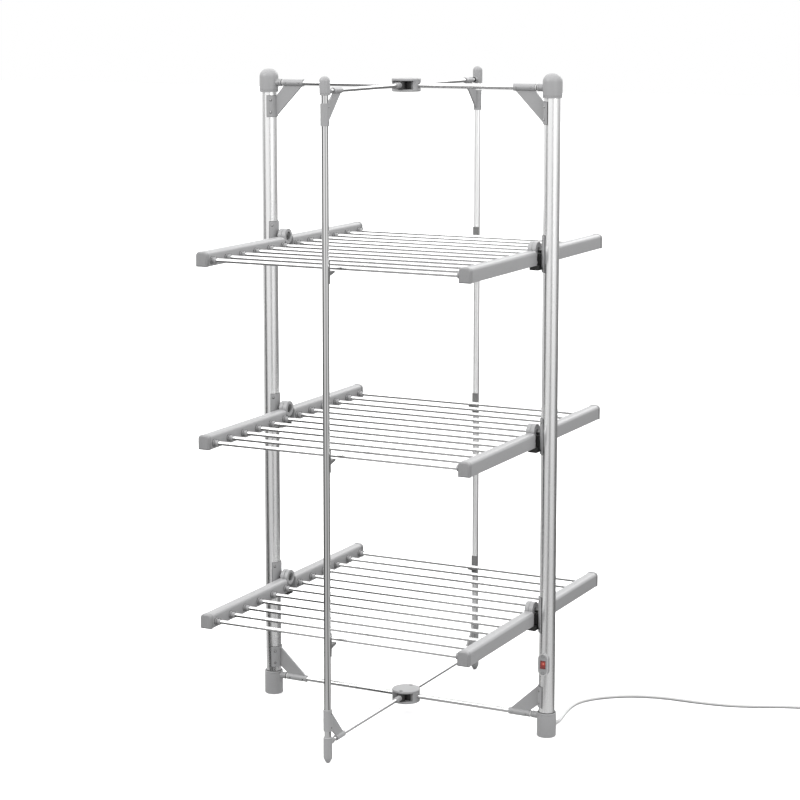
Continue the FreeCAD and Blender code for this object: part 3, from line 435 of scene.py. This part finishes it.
# Start, end and radius of the stubs on the ends of the posts and of the legs.
POST_STUB, LEG_STUB = (0.012, 0.033, 0.00775), (0.006, 0.019, 0.0065)
# Walls of the curved plates on the posts and of the black layer round them that paints their contact
# shadow.
PLATE_WALL, SHADOW_LAYER_WALL = 0.0025, 0.0009
# Heights of the middles of the saddle plates on the posts and of the sleeves on the legs.
POST_PLATES = {"upper": CAP_Z - 0.008 - 0.023, "lower": FOOT_Z + 0.012 + 0.023}
LEG_SLEEVES = {"upper": LEG_CAP_Z - 0.016 - 0.0225, "lower": LEG_FOOT_Z + 0.014 + 0.0225}
# Distances from a post's axis to the rivets in the sleeve of its crossbar.
SLEEVE_RIVETS = (0.046, 0.079)


# ---------------------------------------------------------------- caps and feet

def dome(height, radius, rounding, steps=10):
    """The outline of a domed end, from its full radius to its middle."""
    return [(height - rounding + rounding * math.sin(math.radians(90 * i / steps)),
             radius - rounding + rounding * math.cos(math.radians(90 * i / steps)))
            for i in range(steps + 1)] + [(height, 0)]


def stub(bm, at, inward, start, end, radius):
    """A ringed stub that takes a crossbar or an arm."""
    lip = 0.0009
    spun(bm, [(start, 0), (start, radius), (end - 0.006, radius), (end - 0.0055, radius - lip),
              (end - 0.0045, radius - lip), (end - 0.004, radius), (end - 0.0006, radius),
              (end, radius - 0.0006), (end, 0)], at, inward, 32)


def post_ends():
    """The posts' domed caps and ringed feet, each with a stub for its crossbar."""
    caps, feet = bmesh.new(), bmesh.new()
    tall, lip = TOP - CAP_Z, 0.0007
    for sign in SIDES.values():
        at = Vector((sign * POST_X, 0, 0))
        spun(caps, [(0, POST_R), (0, CAP_R - lip), (0.0006, CAP_R), (0.0034, CAP_R),
                    (0.0038, CAP_R - lip), (0.0046, CAP_R - lip), (0.005, CAP_R)]
             + dome(tall, CAP_R, 0.018), at + Z * CAP_Z, Z, 56)
        stub(caps, at + Z * HUB["upper"].z, -sign * X, *POST_STUB)
        spun(feet, [(0, 0), (0, CAP_R - 0.002), (0.0006, CAP_R - 0.0008), (0.002, CAP_R),
                    (FOOT_Z - 0.0052, CAP_R), (FOOT_Z - 0.0048, CAP_R - lip),
                    (FOOT_Z - 0.0036, CAP_R - lip), (FOOT_Z - 0.0032, CAP_R),
                    (FOOT_Z - 0.0008, CAP_R), (FOOT_Z, CAP_R - 0.0008), (FOOT_Z, POST_R)],
             at, Z, 56)
        stub(feet, at + Z * HUB["lower"].z, -sign * X, *POST_STUB)
    made("post_caps", caps, "frame", "grey_plastic", ["post_top_caps"])
    made("post_feet_turned", feet, "frame", "grey_plastic", ["post_feet"])


def leg_ends(wing):
    """A leg's domed cap and pointed foot, each with a stub for its arm."""
    sign = WINGS[wing]
    at = Vector((0, sign * LEG_Y, 0))
    cap, foot = bmesh.new(), bmesh.new()
    spun(cap, [(0, LEG_R), (0, LEG_CAP_R - 0.0005), (0.0005, LEG_CAP_R), (0.0025, LEG_CAP_R),
               (0.0028, LEG_CAP_R - 0.0005), (0.0034, LEG_CAP_R - 0.0005), (0.0037, LEG_CAP_R)]
         + dome(TOP - LEG_CAP_Z, LEG_CAP_R, 0.0102), at + Z * LEG_CAP_Z, Z, 40)
    stub(cap, at + Z * HUB["upper"].z, -sign * Y, *LEG_STUB)
    made(wing + "_leg_cap_turned", cap, wing + "_leg", "grey_plastic", [wing + "_leg_cap"])
    spun(foot, [(0, 0), (0, 0.0028), (0.0012, 0.0042), (0.0095, LEG_FOOT_R - 0.0004),
                (0.012, LEG_FOOT_R), (LEG_FOOT_Z - 0.0037, LEG_FOOT_R),
                (LEG_FOOT_Z - 0.0034, LEG_FOOT_R - 0.0005),
                (LEG_FOOT_Z - 0.0028, LEG_FOOT_R - 0.0005), (LEG_FOOT_Z - 0.0025, LEG_FOOT_R),
                (LEG_FOOT_Z - 0.0004, LEG_FOOT_R), (LEG_FOOT_Z, LEG_FOOT_R - 0.0004),
                (LEG_FOOT_Z, LEG_R)], at, Z, 40)
    stub(foot, at + Z * HUB["lower"].z, -sign * Y, *LEG_STUB)
    made(wing + "_leg_foot_turned", foot, wing + "_leg", "grey_plastic", [wing + "_leg_foot"])


# ---------------------------------------------------------------- screws and small rings

def screw(heads, rims, at, outward, radius=0.0028, proud=0.0008):
    """A round screw head with a sunk middle, in a black ring that paints the shade of its
    countersink.
    """
    back = -0.0008
    spun(heads, [(back, 0), (back, radius * 0.7), (proud * 0.5, radius * 0.7),
                 (proud, radius * 0.5), (proud, radius * 0.25), (proud * 0.2, radius * 0.2),
                 (proud * 0.2, 0)], at, outward, 16)
    band(rims, at, outward, back, proud * 0.3, 0, radius, 18)


def plate_screws(screws, rims, axis, sign, turn, heights):
    """Screws down both edges of a curved plate on a post, at the given heights."""
    for angle in (-turn, turn):
        out = Matrix.Rotation(math.radians(angle), 3, "Z") @ (-sign * X)
        for height in heights:
            screw(screws, rims, axis + Z * height + out * (POST_R + PLATE_WALL), out)


def gusset_fixings():
    """Four screws through each saddle plate, and two rivets on each sleeve."""
    screws, rims, rings, bushes, shadow_layers = (bmesh.new() for number in range(5))
    for sign in SIDES.values():
        axis = Vector((sign * POST_X, 0, 0))
        facing = math.pi if sign > 0 else 0
        # Painted shadow: a black ring at the top of each foot and a black layer round each saddle
        # plate stand in for the shade in their gaps.
        spun(shadow_layers, [(FOOT_Z - 0.0006, POST_R), (FOOT_Z - 0.0006, CAP_R - 0.0016),
                    (FOOT_Z + 0.001, CAP_R - 0.0018), (FOOT_Z + 0.001, POST_R)],
             axis, Z, 56)
        for level, plate in POST_PLATES.items():
            arc_plate(shadow_layers, axis, POST_R, SHADOW_LAYER_WALL, plate - 0.0238, plate + 0.0238, facing,
                      math.radians(159))
            plate_screws(screws, rims, axis, sign, 51, (plate - 0.01325, plate + 0.01325))
            bar = Z * HUB[level].z
            for reach in SLEEVE_RIVETS:
                for side in SIDES.values():
                    screw(screws, rims, axis + bar - sign * X * reach + Y * side * 0.0075,
                          side * Y, 0.0018, 0.0005)
            band(rings, axis + bar, -sign * X, 0.0332, 0.0345, CROSSBAR_R, 0.0068, 28)
            band(bushes, axis + bar, -sign * X, 0.0346, 0.0378, CROSSBAR_R, 0.0064, 28)
    made("gusset_screws", screws, "frame", "painted_steel")
    made("gusset_screw_painted_shade", rims, "frame", "black_plastic")
    made("gusset_plate_painted_shadows", shadow_layers, "frame", "black_plastic")
    made("crossbar_seals", rings, "frame", "black_plastic")
    made("crossbar_bushes", bushes, "frame", "light_pvc")


def leg_fixings(wing):
    """Four screws through each sleeve of a leg, and a seal where its arm comes in."""
    sign = WINGS[wing]
    axis = Vector((0, sign * LEG_Y, 0))
    screws, rims, rings = (bmesh.new() for number in range(3))
    for level, sleeve in LEG_SLEEVES.items():
        for rise in (-0.015, 0.015):
            for side in (-1, 1):
                screw(screws, rims, axis + Z * (sleeve + rise) + X * side * (LEG_R + 0.002),
                      side * X, 0.0018, 0.0005)
        band(rings, axis + Z * HUB[level].z, -sign * Y, 0.0192, 0.0208, ARM_R, 0.0058, 24)
    made(wing + "_leg_screws", screws, wing + "_leg", "painted_steel")
    made(wing + "_leg_screw_rims", rims, wing + "_leg", "black_plastic")
    made(wing + "_arm_seals", rings, wing + "_leg", "black_plastic")


def leg_arms(wing):
    """The thin rods out to the leg, their ridged collars and the knuckles in the hubs."""
    sign = WINGS[wing]
    rods, collars, knuckles = bmesh.new(), bmesh.new(), bmesh.new()
    for level, hub in HUB.items():
        at = Vector((0, sign * PIN_Y, hub.z))
        out = sign * Y
        reach = LEG_Y - LEG_STUB[1] - PIN_Y
        band(rods, at, out, 0.008, reach, 0, ARM_R, 28)
        ridges = [(0.007, ARM_R)]
        for number in range(4):
            start = 0.0075 + 0.0046 * number
            ridges += [(start, 0.0056), (start + 0.0004, 0.0063), (start + 0.0032, 0.0063),
                       (start + 0.0036, 0.0056)]
        ridges += [(0.0262, 0.005), (0.0262, ARM_R)]
        spun(collars, ridges, at, out, 28)
        tall = 0.0083
        spun(knuckles, [(-tall, 0.0031), (-tall, 0.0078), (-tall + 0.0007, 0.0085),
                        (tall - 0.0007, 0.0085), (tall, 0.0078), (tall, 0.0031)], at, Z, 32)
    made(wing + "_arm_rods", rods, wing + "_leg", "painted_steel", [wing + "_leg_arms"])
    made(wing + "_arm_collars", collars, wing + "_leg", "grey_plastic")
    made(wing + "_arm_knuckles", knuckles, wing + "_leg", "black_plastic")


def hubs():
    """The moulded hubs, a black block inside between the knuckles that paints the shade inside them,
    and dark pin seats.
    """
    shade_blocks, seats = bmesh.new(), bmesh.new()
    shade_block_half = Vector((0.0165, 0.0135, 0.0092))
    for level, hub in HUB.items():
        softened(level + "_hub", "frame", "grey_plastic", 0.0007)
        block(shade_blocks, hub - shade_block_half, hub + shade_block_half, 0.001)
        for sign in WINGS.values():
            at = hub + Vector((0, sign * PIN_Y, 0.0121))
            band(seats, at, Z, 0, 0.0006, 0, 0.0044, 24)
    made("hub_cores", shade_blocks, "frame", "black_plastic")
    made("hub_pin_seats", seats, "frame", "black_plastic")


# ---------------------------------------------------------------- hinges

def hinges():
    """Saddle plates on the posts, black ledges and stops under the rails, and the spigots."""
    plates, shadow_layers, ledges, spigots, screws, rims = (bmesh.new() for number in range(6))
    for sign in SIDES.values():
        axis = Vector((sign * POST_X, 0, 0))
        facing = math.pi if sign > 0 else 0
        for height in PIVOT.values():
            arc_plate(plates, axis, POST_R, PLATE_WALL, height - 0.045, height + 0.032, facing,
                      math.radians(130))
            # Painted shadow: a black layer a little larger than each plate stands in for the shade
            # round its edges.
            arc_plate(shadow_layers, axis, POST_R, SHADOW_LAYER_WALL, height - 0.0458, height + 0.0328, facing,
                      math.radians(135))
            near, far = -sign * (POST_R + 0.0012), -sign * (POST_R + 0.0245)
            xs = sorted((axis.x + near, axis.x + far))
            block(ledges, (xs[0], -0.024, height - 0.041), (xs[1], 0.024, height - 0.0313), 0.009,
                  6, lambda edge, far=axis.x + far: abs(edge.verts[0].co.x - far) < 1e-5
                  and abs(edge.verts[1].co.x - far) < 1e-5
                  and abs(edge.verts[0].co.z - edge.verts[1].co.z) > 1e-4)
            band(spigots, axis + Z * height, -sign * X, POST_R + 0.001, 0.0418, 0, 0.00575, 28)
            head = POST_X - RAIL_X + 0.0108 - 0.0046
            spun(spigots, [(head, 0), (head, 0.0074), (head + 0.0004, 0.008),
                           (head + 0.0016, 0.008), (head + 0.0026, 0.006), (head + 0.0026, 0.0022),
                           (head + 0.0012, 0.0018), (head + 0.0012, 0)],
                 axis + Z * height, -sign * X, 28)
            plate_screws(screws, rims, axis, sign, 48, (height - 0.037, height + 0.024))
    made("hinge_plates", plates, "frame", "grey_plastic", ["hinge_brackets"], 0.0005)
    made("hinge_plate_painted_shadows", shadow_layers, "frame", "black_plastic")
    made("hinge_ledges", ledges, "frame", "black_plastic", bevel=0.0004)
    made("hinge_spigots", spigots, "frame", "steel")
    made("hinge_screws", screws, "frame", "painted_steel")
    made("hinge_screw_painted_shade", rims, "frame", "black_plastic")
    softened("hinge_stops", "frame", "black_plastic", 0.0008)


# ---------------------------------------------------------------- wings

def bar_collars(name, body):
    """A stepped collar where each bar enters its rail; black rings at its base and step and a black
    strip along its top paint the shade of its joints and slot.
    """
    bm, slot_shade = bmesh.new(), bmesh.new()
    low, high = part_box(name + "bar_collars")
    radius = (high.z - low.z) / 2
    first, last = low.y + radius, high.y - radius
    z = (low.z + high.z) / 2
    for side in SIDES.values():
        for number in range(6):
            y = first + (last - first) * number / 5
            at = Vector((side * (RAIL_X - 0.0126), y, z))
            spun(bm, [(0, 0.0046), (0, radius), (0.0032, radius), (0.0037, radius - 0.0009),
                      (0.0078, radius - 0.0011), (0.0083, radius - 0.0004),
                      (0.0104, radius - 0.0004), (0.012, radius - 0.0017), (0.012, 0.0046)],
                 at, -side * X, 28)
            # Painted shade: black rings at the base and the step of the collar.
            for along, inner, outer in ((0.0038, 0.0058, radius - 0.0004), (-0.0002, 0.006, 0.0078)):
                spun(slot_shade, [(along, inner), (along, outer), (along + 0.0006, outer),
                             (along + 0.0006, inner), (along, inner)], at, -side * X, 28)
            start = at.x - side * 0.0044
            end = at.x - side * 0.0122
            block(slot_shade, (min(start, end), y - 0.0006, z + radius - 0.0026),
                  (max(start, end), y + 0.0006, z + radius - 0.0001), 0.0002, 1)
    made(name + "collars_turned", bm, body, "grey_plastic", [name + "bar_collars"])
    made(name + "collar_painted_shade", slot_shade, body, "black_plastic")


def folding_wing(tier, wing):
    """A wing's two eased rails with dark strips that paint the shade of their seams, their end caps,
    and the collars of its bars.
    """
    name, body = "%s_%s_" % (tier, wing), "%s_%s_wing" % (tier, wing)
    sign = WINGS[wing]
    seam_shade = bmesh.new()
    for side, out in SIDES.items():
        softened(name + side + "_rail", body, "grey_plastic", 0.0012)
        low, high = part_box(name + side + "_rail")
        end = high.y if sign > 0 else low.y
        half = RAIL_HALF + 0.0002
        ys = sorted((end - sign * 0.0012, end + sign * 0.0003))
        # Painted shade: a dark strip at the rail's end stands in for the shade in the seam against
        # its cap.
        block(seam_shade, (out * RAIL_X - half, ys[0], PIVOT[tier] - 0.0312),
              (out * RAIL_X + half, ys[1], PIVOT[tier] + 0.0002), 0.008, 6,
              lambda edge: edge.verts[0].co.z > PIVOT[tier] - 0.001
              and edge.verts[1].co.z > PIVOT[tier] - 0.001
              and abs(edge.verts[0].co.y - edge.verts[1].co.y) > 1e-4)
    made(name + "rail_seams", seam_shade, body, "dark_plastic")
    softened(name + "rail_caps", body, "cap_plastic", 0.0008)
    bar_collars(name, body)


# ---------------------------------------------------------------- switch

def switch():
    """The bezel with a raised rim, a darker panel and two screws, and the lit rocker."""
    low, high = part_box("switch_bezel")
    centre = (low + high) / 2
    front = low.y
    softened("switch_bezel", "frame", "grey_plastic", 0.0006)
    rim, screws, seats = (bmesh.new() for number in range(3))
    half, tall, border = (high.x - low.x) / 2, (high.z - low.z) / 2, 0.0016
    rings = [bmesh.ops.create_circle(rim, segments=40, radius=half - inset)["verts"]
             for inset in (0.0, border)]
    for ring in rings:
        for vert in ring:
            vert.co = Vector((vert.co.x, 0, vert.co.y))
            vert.co.z += math.copysign(tall - half, vert.co.z) if abs(vert.co.z) > 1e-6 else 0
            vert.co += Vector((centre.x, front, centre.z))
    bridge = bmesh.ops.bridge_loops(rim, edges=rim.edges[:])
    grown = bmesh.ops.extrude_face_region(rim, geom=bridge["faces"])
    bmesh.ops.translate(rim, vec=(0, -0.0008, 0),
                        verts=[item for item in grown["geom"]
                               if isinstance(item, bmesh.types.BMVert)])
    made("switch_rim", rim, "frame", "light_pvc", bevel=0.0003)
    # Painted shade: a dark seat round each screw stands in for the shade of its countersink.
    for rise in (-0.0185, 0.0185):
        screw(screws, seats, Vector((centre.x, front, centre.z + rise)), -Y, 0.0038, 0.0006)
    made("switch_screws", screws, "frame", "grey_plastic")
    made("switch_screw_painted_shade", seats, "frame", "dark_plastic")
    softened("switch_rocker", "rocker", "red_plastic", 0.0005)


# ---------------------------------------------------------------- mains cable

CORD_DIAMETER = 0.0068
CORD_REST = 0.0036  # height of the cord's axis where it lies on the floor
# From the gland down to the floor, back along it and off to the right in loose bends.
ROUTE = [(0.338, 0.0362, 0.014), (0.3374, 0.055, 0.0126), (0.3345, 0.076, 0.0082),
         (0.3295, 0.098, 0.0046), (0.3245, 0.123, 0.0036), (0.319, 0.155, 0.0036),
         (0.3155, 0.192, 0.0036), (0.3175, 0.226, 0.0036), (0.330, 0.256, 0.0036),
         (0.352, 0.285, 0.0036), (0.387, 0.315, 0.0036), (0.432, 0.338, 0.0036),
         (0.486, 0.350, 0.0036), (0.547, 0.351, 0.0036), (0.610, 0.357, 0.0036),
         (0.668, 0.374, 0.0036), (0.719, 0.399, 0.0036), (0.766, 0.419, 0.0036),
         (0.812, 0.4285, 0.0036)]
COIL_CENTRE = Vector((0.8335, 0.4685, 0))
COIL_RADIUS = 0.0385
COIL_START, COIL_LEAVE, FULL_TURNS = -72, -20, 4
POINTS_PER_TURN = 16
PLUG_START = Vector((0.0453, 0.0165, 0.0122))
ONWARD = Matrix.Rotation(math.radians(COIL_LEAVE), 3, "Z") @ Y


def coil_points():
    """Two layers of turns: the lower one winds inwards and the upper one back out."""
    total = FULL_TURNS + (COIL_LEAVE - COIL_START) / 360
    count = round(total * POINTS_PER_TURN)
    points = []
    for number in range(1, count + 1):
        turns = total * number / count
        inset = min(turns, total - turns)
        radius = COIL_RADIUS + CORD_DIAMETER * (total / 4 - inset)
        rise = min(1, max(0, (turns - total / 2 + 0.15) / 0.3))
        angle = math.radians(COIL_START) + 2 * math.pi * turns
        points.append(COIL_CENTRE + Vector((radius * math.cos(angle), radius * math.sin(angle),
                                            CORD_REST + CORD_DIAMETER * 1.02 * rise)))
    return points


def plug_place():
    """Where the plug's strain relief begins, next to the last turn."""
    return COIL_CENTRE + Matrix.Rotation(math.radians(COIL_LEAVE), 3, "Z") @ PLUG_START


def strain_relief():
    """The ribbed, tapered sleeve behind the foot, on a flanged bush."""
    start = Vector(ROUTE[0])
    out = (Vector(ROUTE[1]) - start).normalized()
    bm = bmesh.new()
    profile = [(-0.0155, 0), (-0.0155, 0.0055), (-0.004, 0.0055), (-0.0038, 0.0075),
               (-0.0018, 0.0075), (-0.0014, 0.0056)]
    ribs, length = 6, 0.027
    for number in range(ribs):
        along = length * number / ribs
        wide = 0.0056 - 0.0014 * number / ribs
        profile += [(along, wide), (along + length * 0.6 / ribs, wide - 0.0001),
                    (along + length * 0.66 / ribs, wide - 0.0009),
                    (along + length * 0.94 / ribs, wide - 0.001)]
    profile += [(length, 0.0041), (length + 0.0004, 0.0036), (length + 0.0004, 0)]
    spun(bm, profile, start, out, 28)
    return made("strain_relief", bm, "frame", "light_pvc", ["cable_gland"])


def plug():
    """A plain two-pin plug: ribbed relief, waisted grip, flat face and two pins."""
    start = plug_place()
    body, pins = bmesh.new(), bmesh.new()
    profile = [(0, 0), (0, 0.0042)]
    ribs, relief, grip = 5, 0.026, 0.036
    for number in range(ribs):
        along, wide = relief * number / ribs, 0.0043 + 0.0042 * number / ribs
        profile += [(along + 0.0003, wide), (along + relief * 0.62 / ribs, wide + 0.0005),
                    (along + relief * 0.68 / ribs, wide - 0.0004),
                    (along + relief * 0.94 / ribs, wide - 0.0002)]
    profile += [(relief, 0.0088), (relief + 0.002, 0.0101), (relief + 0.006, 0.0104),
                (relief + 0.014, 0.0096), (relief + 0.022, 0.0098), (relief + 0.027, 0.0116),
                (relief + 0.0285, 0.012), (relief + grip - 0.001, 0.012),
                (relief + grip, 0.011), (relief + grip, 0)]
    spun(body, profile, start, ONWARD, 36)
    face = start + ONWARD * (relief + grip)
    across_plug = ONWARD.cross(Z)
    for side in (-1, 1):
        spun(pins, [(-0.001, 0), (-0.001, 0.002), (0.0172, 0.002), (0.0186, 0.0014), (0.0188, 0)],
             face + across_plug * side * 0.0093, ONWARD, 18)
    grip_piece = made("plug_grip", body, "frame", "light_pvc", ["mains_plug"])
    pin_piece = made("plug_pins", pins, "frame", "painted_steel")
    return [grip_piece, pin_piece]


def coil_tie():
    """A flat strap round the coil's turns, away from the plug."""
    bm = bmesh.new()
    turn = Matrix.Rotation(math.radians(150), 3, "Z")
    out = turn @ X
    along = turn @ Y
    centre = COIL_CENTRE + out * COIL_RADIUS + Z * 0.0073
    count, wide = 28, 0.005
    for inset in (0.0, 0.0008):
        for side in (-wide / 2, wide / 2):
            ring = bmesh.ops.create_circle(bm, segments=count, radius=1)["verts"]
            for vert in ring:
                across_coil = (0.0118 - inset) * math.copysign(abs(vert.co.x) ** 0.7, vert.co.x)
                up = (0.0072 - inset) * math.copysign(abs(vert.co.y) ** 0.7, vert.co.y)
                vert.co = centre + out * across_coil + Z * up + along * side
    bm.edges.ensure_lookup_table()
    loops = [[bm.edges[number] for number in range(start, start + count)]
             for start in range(0, 4 * count, count)]
    for first, second in ((0, 1), (1, 3), (3, 2), (2, 0)):
        bmesh.ops.bridge_loops(bm, edges=loops[first] + loops[second])
    return made("coil_tie", bm, "frame", "black_plastic")


def mains_cable():
    """The cord with its strain relief, coil, tie and plug."""
    turns = coil_points()
    end = plug_place()
    points = [Vector(point) for point in ROUTE] + turns
    points += [turns[-1].lerp(end, 0.5), end]
    curve = bpy.data.curves.new("mains_cable_line", "CURVE")
    curve.dimensions = "3D"
    line = curve.splines.new("NURBS")
    line.points.add(len(points) - 1)
    for spot, point in zip(line.points, points):
        spot.co = (*point, 1)
    line.order_u = 3
    line.use_endpoint_u = True
    line.resolution_u = 6
    curve.bevel_depth = CORD_DIAMETER / 2
    curve.bevel_resolution = 5
    cable = bpy.data.objects.new("mains_cable_line", curve)
    bpy.context.scene.collection.objects.link(cable)
    cable.data.materials.append(FINISHES["cable_pvc"])
    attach(cable, "frame")
    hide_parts("mains_cable", "mains_cable_coil")
    strain_relief()
    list(plug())
    coil_tie()


camera()
studio()
mains_cable()
post_ends()
gusset_fixings()
softened("post_gussets", "frame", "grey_plastic", 0.0006)
hubs()
hinges()
for name in WINGS:
    leg_ends(name)
    leg_arms(name)
    leg_fixings(name)
    softened(name + "_leg_gussets", name + "_leg", "grey_plastic", 0.0005)
    softened(name + "_leg_clips", name + "_leg", "dark_plastic", 0.0006)
    for tier in TIERS:
        folding_wing(tier, name)
switch()
